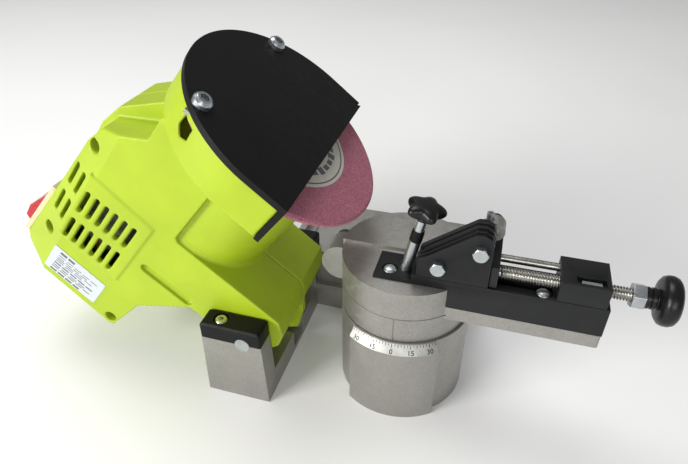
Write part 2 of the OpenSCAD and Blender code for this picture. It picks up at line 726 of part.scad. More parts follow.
module wheel_cover() {
    color(black) head_frame() difference() {
        union() {
            guard_form(cover_n0 + 0.02, cover_n0 + cover_t, cover_r, cover_open_u);
            // lips that wrap back under the open end of the guard
            for (y = [-cover_r, lip_y]) block(cover_n0 - 19, cover_n0 + 1, y, y + cover_r - lip_y,
                cover_open_u, guard_open_u - 0.1);
        }
        // clipped rear corner of the open end
        translate([cover_n0 - 30, cover_r, cover_open_u]) rotate([45, 0, 0]) block(0, 60, -1, 1, -4, 4);
        for (p = cover_screw_pos) along_x(cover_n0 - 1, p[1], p[0]) cylinder(r = 2.1, h = 10);
    }
}

module cover_screws() {
    color(zinc) head_frame() for (p = cover_screw_pos) {
        along_x(cover_n0 + cover_t + 0.02, p[1], p[0]) socket_head(4.1, 3.6, 2);
        along_x(nut_n - 0.3, p[1], p[0]) cylinder(r = 2, h = cover_n0 + cover_t - nut_n + 0.4);
    }
}

module cover_nuts() {
    color([0.2, 0.2, 0.2]) head_frame() for (p = cover_screw_pos) difference() {
        block(nut_n, nut_n + 2, p[1] - 3.4, p[1] + 3.4, p[0] - 3.4, p[0] + 3.4);
        along_x(pan_n0, p[1], p[0]) cylinder(r = 2, h = 30);
    }
}

module rating_plate() {
    color([0.92, 0.93, 0.94]) head_frame()
        slab_y([[-66.5, 70.5], [-47, 70.5], [-44.5, 103.5], [-64, 103.5]], -half_w - 0.25, -half_w - 0.01);
}

module switch_frame() {
    color([0.87, 0.82, 0.62]) head_frame() difference() {
        slab_y([[-63.8, roof_u(-64) + 0.03], [-22, roof_u(-22) + 0.03], [-22, roof_u(-22) + 2.6],
            [-63.8, roof_u(-64) + 2.8]], -23, 23);
        block(switch_n[0], switch_n[1], -switch_y, switch_y, 110, 130);
    }
}

module switch_rocker() {
    color([0.72, 0.11, 0.12]) head_frame() difference() {
        slab_y([[-34, 119.4], [-34, 123.6], [-51, 129.5], [-59.2, 129.2], [-61.2, 126.4], [-61.2, 120]],
            -switch_y + 0.6, switch_y - 0.6);
        along_y(rocker_pivot[0], -20, rocker_pivot[1]) cylinder(r = 1.5 + run, h = 40);
    }
}

// Box of the switch under its frame, with the pin that the rocker tilts on
module switch_body() {
    n0 = switch_n[0] - 0.6;
    n1 = switch_n[1] + 0.8;
    color(black) head_frame() {
        difference() {
            slab_y([[n0, 116.6], [n1, 116.6], [n1, roof_u(n1) - 0.2], [n0, roof_u(n0) - 0.2]],
                -switch_y - 0.6, switch_y + 0.6);
            block(n0 + 0.5, n1 - 0.5, -switch_y - 0.1, switch_y + 0.1, 117.6, 130);
        }
        along_y(rocker_pivot[0], -switch_y - 0.4, rocker_pivot[1])
            cylinder(r = 1.5, h = 2 * switch_y + 0.8);
    }
}

module cable_gland() {
    color(black) head_frame() along_x(-81, 18, 70) difference() {
        union() {
            cylinder(r1 = 5, r2 = 6, h = 6);
            translate([0, 0, 6 - eps]) cylinder(r = 3.95, h = 8);
        }
        translate([0, 0, -1]) cylinder(r = 2.6, h = 20);
    }
}

// ---------------------------------------------------------------- drive

module motor_stator() {
    color([0.45, 0.45, 0.47]) head_frame() difference() {
        along_x(-30, 0, motor_u) cylinder(r = 27, h = 32);
        along_x(-31, 0, motor_u) cylinder(r = 15.5, h = 34);
        // flats above and below
        for (s = [-1, 1]) block(-35, 10, -40, 40, motor_u + s * 31 - 6, motor_u + s * 31 + 6);
    }
}

module motor_rotor() {
    color(steel) head_frame() {
        along_x(-30, 0, motor_u) difference() {
            cylinder(r = 15, h = 32);
            for (a = [0 : 30 : 359]) rotate([0, 0, a]) translate([14, 0, -1]) cylinder(r = 1.6, h = 40);
        }
        along_x(-58.5, 0, motor_u) cylinder(r = 3, h = 104);
    }
}

module commutator() {
    color([0.72, 0.45, 0.2]) head_frame() along_x(-44, 0, motor_u) difference() {
        cylinder(r = 9, h = 11);
        translate([0, 0, -1]) cylinder(r = 3, h = 20);
        for (a = [0 : 30 : 359]) rotate([0, 0, a]) block(8, 10, -0.4, 0.4, -1, 20);
    }
}

module brush_holders() {
    color([0.75, 0.6, 0.3]) head_frame() for (s = [-1, 1])
        block(-42, -34.6, s > 0 ? 9.3 : -26, s > 0 ? 26 : -9.3, motor_u - 4, motor_u + 4);
}

module bearing(n, u, r_out, r_in, w) {
    along_x(n, 0, u) {
        difference() {
            cylinder(r = r_out, h = w);
            translate([0, 0, -1]) cylinder(r = r_out - 2, h = w + 2);
        }
        difference() {
            cylinder(r = r_in + 1.6, h = w);
            translate([0, 0, -1]) cylinder(r = r_in, h = w + 2);
        }
        translate([0, 0, w * 0.15]) difference() {
            cylinder(r = r_out - 1.99, h = w * 0.7);
            translate([0, 0, -1]) cylinder(r = r_in + 1.59, h = w + 2);
        }
    }
}

module motor_bearings() {
    color(steel) head_frame() {
        bearing(-58, motor_u, 8, 3.05, 4);
        bearing(13.5, motor_u, 8, 3.05, 4);
    }
}

module cooling_fan() {
    color(black) head_frame() along_x(6, 0, motor_u) difference() {
        union() {
            cylinder(r = 24, h = 1.5);
            cylinder(r = 6, h = 7);
            for (a = [0 : 40 : 359]) rotate([0, 0, a]) block(5, 24, -0.7, 0.7, 0, 7);
        }
        translate([0, 0, -1]) cylinder(r = 3, h = 20);
    }
}

module pulley(u, r, bore) {
    along_x(belt_n, 0, u) difference() {
        rotate_extrude() polygon([[0, -7], [bore + 4, -7], [bore + 4, -6], [r + 1.6, -6], [r + 1.6, -5],
            [r - 0.1, -5], [r - 0.1, 5], [r + 1.6, 5], [r + 1.6, 6], [0, 6]]);
        translate([0, 0, -20]) cylinder(r = bore, h = 40);
    }
}

module drive_pulley() { color(black) head_frame() pulley(motor_u, drive_r, 3); }

module driven_pulley() { color(black) head_frame() pulley(wheel_u, driven_r, 5); }

// Flat rubber belt: two arcs joined by the outer tangents of the two pulleys
module drive_belt() {
    d = motor_u - wheel_u;
    function ring(r1, r2) = let (t = acos((r1 - r2) / d)) concat(
        [for (i = [0 : 16]) let (a = t + (360 - 2 * t) * i / 16) [-r1 * cos(a), r1 * sin(a)]],
        [for (i = [0 : 12]) let (a = -t + 2 * t * i / 12) [-d - r2 * cos(a), r2 * sin(a)]]);
    color([0.12, 0.12, 0.12]) head_frame() along_x(belt_n - belt_w / 2, 0, wheel_u) difference() {
        linear_extrude(belt_w) polygon(ring(driven_r + belt_t + 0.3, drive_r + belt_t + 0.3));
        translate([0, 0, -1]) linear_extrude(belt_w + 2) polygon(ring(driven_r + 0.3, drive_r + 0.3));
    }
}

module spindle() {
    color(steel) head_frame() difference() {
        union() {
            along_x(13, 0, wheel_u) cylinder(r = 5, h = wheel_n - 3.4 - 13);
            along_x(wheel_n - 3.5, 0, wheel_u) cylinder(r = 4, h = 6);
        }
        along_x(wheel_n - 8, 0, wheel_u) cylinder(r = 2.5, h = 20);
    }
}

module spindle_bearings() {
    color(steel) head_frame() {
        bearing(14.8, wheel_u, 11, 5.05, 5);
        bearing(pan_n0 - 4, wheel_u, 11, 5.05, 5);
    }
}

module inner_flange() {
    color(zinc) head_frame() along_x(flange_n, 0, wheel_u) difference() {
        union() {
            cylinder(r = 15, h = wheel_n - flange_n - 0.02);
            cylinder(r = 5.9, h = wheel_n - flange_n + wheel_t - 0.4);
        }
        translate([0, 0, -1]) cylinder(r = 5, h = wheel_n - 3.4 - flange_n + 1);
        translate([0, 0, -1]) cylinder(r = 4, h = 30);
    }
}

module grinding_wheel() {
    color([0.72, 0.45, 0.50]) head_frame() along_x(wheel_n, 0, wheel_u) rotate_extrude($fn = 96)
        polygon([[6, 0], [wheel_r - 1.2, 0], [wheel_r, 0.9], [wheel_r, wheel_t - 0.9],
            [wheel_r - 1.2, wheel_t], [6, wheel_t]]);
}

module wheel_label() {
    color([0.86, 0.82, 0.72]) head_frame() along_x(wheel_n + wheel_t, 0, wheel_u) difference() {
        translate([0, 0, 0.01]) cylinder(r = 31, h = 0.25);
        translate([0, 0, -1]) cylinder(r = 6, h = 3);
    }
}

module outer_flange() {
    color(zinc) head_frame() along_x(wheel_n + wheel_t + 0.28, 0, wheel_u) difference() {
        cylinder(r = 14, h = 0.9);
        translate([0, 0, -1]) cylinder(r = 2.6, h = 3);
    }
}

module wheel_screw() {
    color(zinc) head_frame() along_x(wheel_n + wheel_t + 1.2, 0, wheel_u) difference() {
        union() {
            cylinder(r1 = 5, r2 = 4.2, h = 1.4);
            translate([0, 0, -9]) cylinder(r = 2.5, h = 9 + eps);
        }
        translate([0, 0, 0.4]) cylinder(r = 2, h = 2, $fn = 6);
    }
}

// ---------------------------------------------------------------- nodes

base_casting();
yoke_cap_front();
yoke_cap_rear();
cap_screws();
hinge_pin();
angle_scale();
depth_stop_screw();
depth_stop_nut();
turntable();
pivot_bolt();
pivot_washer();
table_lock_knob();
vise_rail();
rail_screws();
jaw_front();
jaw_rear();
jaw_bolts();
jaw_nuts();
clamp_stud();
clamp_collar();
clamp_knob();
screw_block();
block_insert();
guide_rod();
stop_carriage();
adjuster_screw();
adjuster_nut();
adjuster_knob();
chain_stop();
stop_set_screw();
stop_pin();
housing_front();
housing_rear();
housing_screws();
hinge_sleeve();
wheel_cover();
cover_screws();
cover_nuts();
rating_plate();
switch_frame();
switch_rocker();
switch_body();
cable_gland();
motor_stator();
motor_rotor();
commutator();
brush_holders();
motor_bearings();
cooling_fan();
drive_pulley();
drive_belt();
driven_pulley();
spindle();
spindle_bearings();
inner_flange();
grinding_wheel();
wheel_label();
outer_flange();
wheel_screw();
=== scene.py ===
"""Looks of a bench saw-chain sharpener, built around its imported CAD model."""
import json
import math

import bpy
from mathutils import Matrix, Vector


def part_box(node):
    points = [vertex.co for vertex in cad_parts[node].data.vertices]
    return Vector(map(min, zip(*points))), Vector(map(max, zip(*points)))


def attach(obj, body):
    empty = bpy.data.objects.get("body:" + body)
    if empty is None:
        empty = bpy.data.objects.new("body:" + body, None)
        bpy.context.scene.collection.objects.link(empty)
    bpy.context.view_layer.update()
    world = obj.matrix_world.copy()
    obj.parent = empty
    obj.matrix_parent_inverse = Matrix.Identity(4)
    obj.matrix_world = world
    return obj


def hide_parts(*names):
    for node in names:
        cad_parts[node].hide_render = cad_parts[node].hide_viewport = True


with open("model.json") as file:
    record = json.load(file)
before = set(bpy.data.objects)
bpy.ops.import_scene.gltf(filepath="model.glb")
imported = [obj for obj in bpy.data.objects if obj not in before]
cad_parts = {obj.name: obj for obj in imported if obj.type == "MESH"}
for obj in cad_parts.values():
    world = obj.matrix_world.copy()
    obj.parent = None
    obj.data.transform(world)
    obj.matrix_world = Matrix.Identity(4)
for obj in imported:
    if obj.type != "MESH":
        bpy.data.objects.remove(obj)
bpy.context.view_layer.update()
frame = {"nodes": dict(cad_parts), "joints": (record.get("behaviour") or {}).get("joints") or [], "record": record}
nodes = frame["nodes"]

MM = 0.001
FULL_TURN = 2 * math.pi


# ---------------------------------------------------------------- places taken from the frame

joints = {j["name"]: j for j in frame["joints"]}
TABLE_AXIS = Vector(joints["table_swivel"]["pos_m"])
HINGE = Vector(joints["head_tilt"]["pos_m"])
WHEEL_AXIS = Vector(joints["wheel_spin"]["axis"]).normalized()
WHEEL_POINT = Vector(joints["wheel_spin"]["pos_m"])
X_AXIS = Vector((1, 0, 0))
Y_AXIS = Vector((0, 1, 0))
HEAD_UP = WHEEL_AXIS.cross(Y_AXIS)
HEAD = Matrix.Translation(HINGE) @ Matrix((
    (WHEEL_AXIS.x, 0, HEAD_UP.x), (0, 1, 0), (WHEEL_AXIS.z, 0, HEAD_UP.z))).to_4x4()


def head_point(n, y, u):
    """A point of the head's own frame, in millimetres, as a point of the part's frame."""
    return HEAD @ Vector((n * MM, y * MM, u * MM))


def head_spoke(angle):
    """Direction at right angles to the wheel's axis, turned by an angle from the Y axis."""
    return Y_AXIS * math.cos(angle) + HEAD_UP * math.sin(angle)


def span(name, direction, origin=HINGE):
    """Lowest and highest reach of a CAD node along a direction, in metres from the origin."""
    reach = [(v.co - origin).dot(direction) for v in nodes[name].data.vertices]
    return min(reach), max(reach)


# ---------------------------------------------------------------- materials

# sockets of the colour Mix node: its factor, its two colours and its result
MIX_FACTOR, MIX_A, MIX_B, MIX_RESULT = 0, 6, 7, 2


class Nodes:
    """One material's node tree, built a step at a time; lengths are in metres, scales per metre."""

    def __init__(self, name):
        self.mat = bpy.data.materials.new(name)
        self.mat.use_nodes = True
        self.tree = self.mat.node_tree
        self.shader = self.tree.nodes["Principled BSDF"]
        self.coord = self.tree.nodes.new("ShaderNodeTexCoord").outputs["Object"]

    def new(self, kind, **values):
        """A node, with each value set as the node's own property or else as an input."""
        made = self.tree.nodes.new("ShaderNode" + kind)
        for key, value in values.items():
            if hasattr(made, key):
                setattr(made, key, value)
            else:
                made.inputs[key].default_value = value
        return made

    def link(self, source, target):
        self.tree.links.new(source, target)

    def noise(self, per_m, detail=4.0, rough=0.55, coord=None):
        """Soft random patches, from 0 to 1."""
        made = self.new("TexNoise", Scale=per_m, Detail=detail, Roughness=rough)
        self.link(coord or self.coord, made.inputs["Vector"])
        return made.outputs["Fac"]

    def cells(self, per_m):
        """Grains: a distance and a random colour for each cell."""
        made = self.new("TexVoronoi", Scale=per_m)
        self.link(self.coord, made.inputs["Vector"])
        return made

    def spread(self, source, low, high, start=0.3, end=0.7):
        """Stretches the part of a source between start and end to run from low to high."""
        made = self.new("MapRange")
        for key, value in (("From Min", start), ("From Max", end), ("To Min", low), ("To Max", high)):
            made.inputs[key].default_value = value
        self.link(source, made.inputs["Value"])
        return made.outputs["Result"]

    def ramp(self, source, stops):
        """Colours a source by (place, colour) stops."""
        made = self.new("ValToRGB")
        elements = made.color_ramp.elements
        while len(elements) < len(stops):
            elements.new(0.5)
        for element, (at, colour) in zip(elements, stops):
            element.position = at
            element.color = (*colour, 1)
        self.link(source, made.inputs["Fac"])
        return made.outputs["Color"]

    def mix(self, factor, a, b, blend_type="MIX"):
        """Blends two colours, each one a socket or a constant; the factor too may be either."""
        made = self.new("Mix", data_type="RGBA", blend_type=blend_type)
        for source, at in ((factor, MIX_FACTOR), (a, MIX_A), (b, MIX_B)):
            if isinstance(source, tuple):
                made.inputs[at].default_value = (*source, 1)
            elif isinstance(source, float):
                made.inputs[at].default_value = source
            else:
                self.link(source, made.inputs[at])
        return made.outputs[MIX_RESULT]

    def bump(self, height, strength, distance, under=None):
        """Relief of the surface, laid over the relief under it."""
        made = self.new("Bump", Strength=strength, Distance=distance)
        self.link(height, made.inputs["Height"])
        if under is not None:
            self.link(under, made.inputs["Normal"])
        return made.outputs["Normal"]

    def finish(self, colour, rough, normal, **constants):
        """Joins the sockets to the shader, sets its constants and gives the material."""
        for key, value in constants.items():
            self.shader.inputs[key.replace("_", " ")].default_value = value
        for socket, source in (("Base Color", colour), ("Roughness", rough), ("Normal", normal)):
            if source is not None:
                self.link(source, self.shader.inputs[socket])
        return self.mat


def shade(colour, factor):
    """A colour made darker or lighter."""
    return tuple(min(1.0, c * factor) for c in colour)


def plastic(name, colour, rough, grain, depth, vary=0.06, shine=0.5):
    """Moulded plastic: fine spark-eroded grain of a depth in mm, faint flow clouds, marks in the gloss."""
    n = Nodes(name)
    clouds = n.noise(45, 3)
    tone = n.ramp(clouds, ((0.3, shade(colour, 1 - vary)), (0.7, shade(colour, 1 + vary))))
    marks = n.noise(260, 6, 0.7)
    gloss = n.spread(marks, rough - 0.07, rough + 0.09)
    grain_map = n.bump(n.noise(grain, 2), 0.35, depth * MM)
    waves = n.bump(n.noise(90, 2), 0.25, 0.12 * MM, grain_map)
    return n.finish(tone, gloss, waves, Specular_IOR_Level=shine)


def cast_metal(name, colour, rough):
    """Die-cast aluminium: pitted skin and soft stains."""
    n = Nodes(name)
    stains = n.noise(38, 5, 0.65)
    grain = n.noise(1300, 3, 0.6)
    tone = n.ramp(stains, ((0.28, shade(colour, 0.80)), (0.5, colour), (0.74, shade(colour, 1.10))))
    speck = n.ramp(grain, ((0.36, shade(colour, 0.72)), (0.62, shade(colour, 1.08))))
    mixed = n.mix(n.spread(n.noise(420, 3), 0.25, 0.6), tone, speck)
    gloss = n.spread(n.noise(300, 4), rough - 0.08, rough + 0.1)
    pits = n.bump(n.cells(1500).outputs["Distance"], 0.28, 0.05 * MM)
    skin = n.bump(grain, 0.5, 0.07 * MM, pits)
    waves = n.bump(n.noise(120, 2), 0.35, 0.25 * MM, skin)
    return n.finish(mixed, gloss, waves, Metallic=0.85)


def turned_metal(name, colour, rough):
    """Plated or ground metal: fine lines, small scratches, slight cloudiness."""
    n = Nodes(name)
    cloud = n.noise(160, 4, 0.6)
    tone = n.ramp(cloud, ((0.3, shade(colour, 0.82)), (0.7, shade(colour, 1.08))))
    gloss = n.spread(n.noise(900, 4, 0.7), rough - 0.08, rough + 0.12)
    fine = n.bump(n.noise(2600, 3), 0.22, 0.012 * MM)
    return n.finish(tone, gloss, fine, Metallic=1.0)


def black_metal(name, colour, rough):
    """Black-oxide steel: oily sheen, rubbed grey edges, milling grain along the rail."""
    n = Nodes(name)
    stretch = n.new("Mapping")
    stretch.inputs["Scale"].default_value = (0.12, 1, 1)
    n.link(n.coord, stretch.inputs["Vector"])
    grain = n.noise(1800, 3, 0.6, stretch.outputs["Vector"])
    tone = n.ramp(n.noise(150, 5, 0.65), ((0.3, shade(colour, 0.7)), (0.72, shade(colour, 1.5))))
    edge = n.new("NewGeometry").outputs["Pointiness"]
    worn = n.mix(n.spread(edge, 0.0, 0.75, 0.53, 0.61), tone, shade(colour, 7))
    gloss = n.spread(n.noise(420, 5, 0.7), rough - 0.1, rough + 0.12)
    normal = n.bump(grain, 0.3, 0.02 * MM, n.bump(n.noise(2200, 2), 0.3, 0.02 * MM))
    return n.finish(worn, gloss, normal, Metallic=0.55)


def abrasive(name, colour):
    """Vitrified pink alumina: bonded grains with pale and dark specks, and painted shade in each open pore."""
    n = Nodes(name)
    grains = n.cells(2300)
    split = n.new("SeparateColor")
    n.link(grains.outputs["Color"], split.inputs["Color"])
    tint = n.ramp(split.outputs["Red"], ((0.0, shade(colour, 0.72)), (1.0, shade(colour, 1.3))))
    # dark patches of painted shade, where each open pore of the wheel would sit in shadow
    pore_shade = n.ramp(n.noise(1500, 3, 0.7), ((0.35, shade(colour, 0.45)), (0.46, (1, 1, 1))))
    dark = n.mix(0.7, tint, pore_shade, "MULTIPLY")
    cloud = n.mix(n.spread(n.noise(70, 4), 0.0, 0.35), dark, shade(colour, 0.8))
    rough_skin = n.bump(grains.outputs["Distance"], 0.8, 0.10 * MM)
    normal = n.bump(n.noise(1200, 4, 0.7), 0.7, 0.12 * MM, rough_skin)
    return n.finish(cloud, None, normal, Roughness=0.92)


def paper(name, colour):
    """Card or dried ink: matt, with a faint fibre."""
    n = Nodes(name)
    tone = n.ramp(n.noise(220, 4), ((0.3, shade(colour, 0.9)), (0.7, colour)))
    normal = n.bump(n.noise(3000, 3), 0.25, 0.02 * MM)
    return n.finish(tone, None, normal, Roughness=0.78)


def film(name, colour):
    """Smooth printed plastic film, a little wavy where it is stuck on."""
    n = Nodes(name)
    tone = n.ramp(n.noise(120, 3), ((0.3, shade(colour, 0.94)), (0.7, colour)))
    normal = n.bump(n.noise(140, 2), 0.2, 0.05 * MM)
    return n.finish(tone, n.spread(n.noise(600, 3), 0.22, 0.36), normal)


def enamel_wire(name, colour):
    """Enamelled copper wire, laid in fine parallel turns, with painted shade in the grooves between the turns."""
    n = Nodes(name)
    turns = n.new("TexWave", Scale=700.0, Distortion=2.0, Detail=2.0, bands_direction="X")
    n.link(n.coord, turns.inputs["Vector"])
    # the dark end of this ramp is painted shade in the grooves between the turns
    tone = n.ramp(turns.outputs["Fac"], ((0.2, shade(colour, 0.35)), (0.7, colour)))
    return n.finish(tone, None, n.bump(turns.outputs["Fac"], 0.8, 0.2 * MM), Metallic=0.7, Roughness=0.35)


MATERIALS = {
    "cast_aluminium": cast_metal("cast_aluminium", (0.37, 0.36, 0.335), 0.46),
    "black_plastic": plastic("black_plastic", (0.005, 0.005, 0.0055), 0.48, 2100, 0.05, 0.25, 0.18),
    "black_knob": plastic("black_knob", (0.005, 0.005, 0.0055), 0.30, 1500, 0.03, 0.2, 0.32),
    "black_steel": black_metal("black_steel", (0.006, 0.0062, 0.0065), 0.42),
    "green_plastic": plastic("green_plastic", (0.355, 0.475, 0.014), 0.42, 2300, 0.03, 0.06, 0.4),
    "zinc": turned_metal("zinc", (0.50, 0.53, 0.55), 0.32),
    "yellow_zinc": turned_metal("yellow_zinc", (0.62, 0.60, 0.40), 0.34),
    "steel": turned_metal("steel", (0.40, 0.39, 0.36), 0.28),
    "scale_strip": turned_metal("scale_strip", (0.46, 0.46, 0.435), 0.50),
    "abrasive": abrasive("abrasive", (0.42, 0.145, 0.20)),
    "label_paper": paper("label_paper", (0.60, 0.57, 0.50)),
    "plate_film": film("plate_film", (0.56, 0.60, 0.65)),
    "cream_plastic": plastic("cream_plastic", (0.62, 0.56, 0.34), 0.45, 2200, 0.02),
    "red_plastic": plastic("red_plastic", (0.42, 0.012, 0.018), 0.25, 2600, 0.01, 0.05),
    "laminations": turned_metal("laminations", (0.22, 0.22, 0.23), 0.5),
    "copper": turned_metal("copper", (0.72, 0.38, 0.20), 0.35),
    "brass": turned_metal("brass", (0.70, 0.52, 0.25), 0.35),
    "belt_rubber": plastic("belt_rubber", (0.02, 0.02, 0.02), 0.75, 900, 0.06, 0.2),
    "ink": paper("ink", (0.012, 0.012, 0.013)),
    "grey_ink": paper("grey_ink", (0.14, 0.14, 0.15)),
    "winding": enamel_wire("winding", (0.60, 0.24, 0.08)),
}
slot_of = {s["node"]: s["material_slot"] for s in frame["record"]["subparts"]}
for name, node in nodes.items():
    node.data.materials.clear()
    node.data.materials.append(MATERIALS[slot_of[name]])


# ---------------------------------------------------------------- shared mesh work

def modify(obj, kind, **values):
    """Adds a modifier with its settings."""
    made = obj.modifiers.new(kind.lower(), kind)
    for key, value in values.items():
        setattr(made, key, value)


def smooth(obj, angle=35):
    """Smooth shading that stays sharp where faces meet at more than an angle in degrees."""
    shade_faces(obj.data, True)
    modify(obj, "NODES", node_group=smooth_group(angle))


def shade_faces(mesh, is_smooth):
    """Sets every face of a mesh to smooth or flat shading."""
    for polygon in mesh.polygons:
        polygon.use_smooth = is_smooth


smooth_groups = {}


def smooth_group(angle):
    """The geometry node group that keeps edges smooth up to the angle."""
    if angle in smooth_groups:
        return smooth_groups[angle]
    group = bpy.data.node_groups.new(f"smooth_{angle}", "GeometryNodeTree")
    group.interface.new_socket("Geometry", in_out="INPUT", socket_type="NodeSocketGeometry")
    group.interface.new_socket("Geometry", in_out="OUTPUT", socket_type="NodeSocketGeometry")
    start, end = group.nodes.new("NodeGroupInput"), group.nodes.new("NodeGroupOutput")
    edge = group.nodes.new("GeometryNodeInputMeshEdgeAngle")
    compare = group.nodes.new("FunctionNodeCompare")
    compare.operation = "LESS_EQUAL"
    compare.inputs[1].default_value = math.radians(angle)
    group.links.new(edge.outputs["Unsigned Angle"], compare.inputs[0])
    flat = group.nodes.new("GeometryNodeSetShadeSmooth")
    flat.domain = "EDGE"
    group.links.new(start.outputs[0], flat.inputs["Geometry"])
    group.links.new(compare.outputs[0], flat.inputs["Shade Smooth"])
    group.links.new(flat.outputs[0], end.inputs[0])
    smooth_groups[angle] = group
    return group


def weld(obj):
    """Joins the loose corners of a CAD node's triangles."""
    modify(obj, "WELD", merge_threshold=0.01 * MM)


def soften_edges(obj, width):
    """Rounds the sharp edges of a CAD node by a real bevel, its width in millimetres."""
    weld(obj)
    modify(obj, "DECIMATE", decimate_type="DISSOLVE", angle_limit=math.radians(0.05))
    modify(obj, "BEVEL", width=width * MM, segments=2, limit_method="ANGLE",
           angle_limit=math.radians(30), use_clamp_overlap=True, miter_outer="MITER_ARC")
    smooth(obj)
    modify(obj, "WEIGHTED_NORMAL", weight=60, keep_sharp=True)


def mould(obj, voxel, passes):
    """Gives a CAD node the soft corners of a moulding; the voxel is in millimetres."""
    weld(obj)
    modify(obj, "REMESH", mode="VOXEL", voxel_size=voxel * MM, use_smooth_shade=True)
    modify(obj, "SMOOTH", factor=0.5, iterations=passes)


# voxel in millimetres and smoothing passes
MOULDED = {"housing_front": (0.6, 4), "housing_rear": (0.6, 4)}
# bevel widths in millimetres
BEVELLED = {
    "base_casting": 0.6, "turntable": 0.5, "yoke_cap_front": 0.3, "yoke_cap_rear": 0.3, "vise_rail": 0.3,
    "jaw_front": 0.25, "jaw_rear": 0.25, "screw_block": 0.3, "stop_carriage": 0.3, "chain_stop": 0.6,
    "jaw_bolts": 0.2, "jaw_nuts": 0.2, "adjuster_nut": 0.25, "depth_stop_nut": 0.2, "wheel_cover": 0.5,
    "switch_frame": 0.4, "switch_rocker": 0.4, "clamp_knob": 0.6, "table_lock_knob": 0.8,
    "grinding_wheel": 0.2, "hinge_pin": 0.4, "rail_screws": 0.1, "cap_screws": 0.15, "cover_screws": 0.15,
    "block_insert": 0.2, "cable_gland": 0.3, "stop_pin": 0.2, "clamp_collar": 0.2, "cover_nuts": 0.15,
    "housing_screws": 0.15, "outer_flange": 0.15, "wheel_screw": 0.15, "inner_flange": 0.3,
    "rating_plate": 0.05,
}
for name, node in nodes.items():
    if name in MOULDED:
        mould(node, *MOULDED[name])
    elif name in BEVELLED:
        soften_edges(node, BEVELLED[name])
    else:
        weld(node)
        smooth(node)


# ---------------------------------------------------------------- detail pieces

def mesh_piece(name, points, faces, body, slot, material=None, stands_for=(), is_smooth=True):
    """A new piece from points in metres, riding on a body; its material has its slot's name if not given."""
    mesh = bpy.data.meshes.new(name)
    mesh.from_pydata([tuple(p) for p in points], [], faces)
    mesh.update()
    piece = bpy.data.objects.new(name, mesh)
    bpy.context.scene.collection.objects.link(piece)
    mesh.materials.append(MATERIALS[material or slot])
    shade_faces(mesh, is_smooth)
    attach(piece, body)
    if stands_for:
        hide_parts(*stands_for)
    return piece


def rings_to_mesh(rings):
    """Points and faces of a closed surface through rings with equal counts, capped at both ends."""
    count = len(rings[0])
    points = [p for ring in rings for p in ring]
    faces = [tuple(range(count))[::-1]]
    for i in range(len(rings) - 1):
        for j in range(count):
            k = (j + 1) % count
            faces.append((i * count + j, i * count + k, (i + 1) * count + k, (i + 1) * count + j))
    faces.append(tuple(range((len(rings) - 1) * count, len(rings) * count)))
    return points, faces


def turned_ring(centre, along, across, count, radius_at):
    """A ring of points about an axis, with its radius given by angle."""
    other = along.cross(across)
    angles = [FULL_TURN * j / count for j in range(count)]
    return [centre + radius_at(a) * (across * math.cos(a) + other * math.sin(a)) for a in angles]


THREAD_SIDES = 36
RINGS_PER_PITCH = 8
SOCKET_DEPTH = 2


def thread_height(turn):
    """Height of a rolled thread's flank over one pitch, 0 at the root and 1 at the crest."""
    place = turn % 1.0
    return max(0.0, min(1.0, 1.35 - 3.6 * abs(place - 0.5)))


def make_thread(name, node, body, slot, plain_start, plain_end, pitch, depth, socket=0.0):
    """A screw with a true helix that stands for a ridged CAD rod along X; sizes in millimetres."""
    low, high = (Vector(c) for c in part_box(node))
    middle = (low + high) / 2
    radius = (high.z - low.z) / 2
    root = radius - depth * MM
    start, end = low.x + plain_start * MM, high.x - plain_end * MM
    rings = []

    def add_ring(x, radius_at):
        rings.append(turned_ring(Vector((x, middle.y, middle.z)), X_AXIS, Y_AXIS, THREAD_SIDES, radius_at))

    def add_plain_ring(x, plain_radius):
        add_ring(x, lambda a: plain_radius)

    if socket:
        add_plain_ring(low.x + SOCKET_DEPTH * MM, socket * MM)
        add_plain_ring(low.x, socket * MM * 1.05)
    neck = radius * 0.73 if plain_start else root * 0.96
    add_plain_ring(low.x, neck)
    add_plain_ring(start - 0.01 * MM if plain_start else low.x + 0.2 * MM, neck)
    steps = int((end - start) / (pitch * MM) * RINGS_PER_PITCH)
    for i in range(steps + 1):
        turns = i / RINGS_PER_PITCH
        crest = (radius - root) * min(1.0, turns, (steps - i) / RINGS_PER_PITCH)
        add_ring(start + (end - start) * i / steps,
                 lambda a: root + crest * thread_height(turns - a / FULL_TURN))
    if plain_end:
        add_plain_ring(end + 0.2 * MM, radius * 0.76)
        add_plain_ring(high.x, radius * 0.76)
    else:
        add_plain_ring(high.x, root * 0.9)
    points, faces = rings_to_mesh(rings)
    piece = mesh_piece(name, points, faces, body, slot, stands_for=(node,))
    smooth(piece, 50)


make_thread("adjuster_thread", "adjuster_screw", "adjuster", "steel", 2.5, 7.0, 1.2, 0.55)
make_thread("depth_stop_thread", "depth_stop_screw", "depth_stop", "zinc", 0.0, 0.0, 0.8, 0.4, 1.4)


# clamp knob, from the foot of its bore over the lobes to the dome:
# share of its height, radius in millimetres, share by which the lobes stand out
KNOB_BORE_R = 2.38
KNOB_PROFILE = (
    (0.55, KNOB_BORE_R, 0), (0.02, KNOB_BORE_R, 0), (0.0, 3.1, 0), (0.05, 3.5, 0), (0.20, 4.3, 0.01),
    (0.30, 5.8, 0.08), (0.38, 7.2, 0.15), (0.50, 7.9, 0.18), (0.64, 8.0, 0.18), (0.78, 7.6, 0.16),
    (0.90, 6.4, 0.11), (0.97, 4.4, 0.05), (1.0, 1.6, 0.0),
)
KNOB_LOBES = 5
KNOB_TURN = math.radians(10)


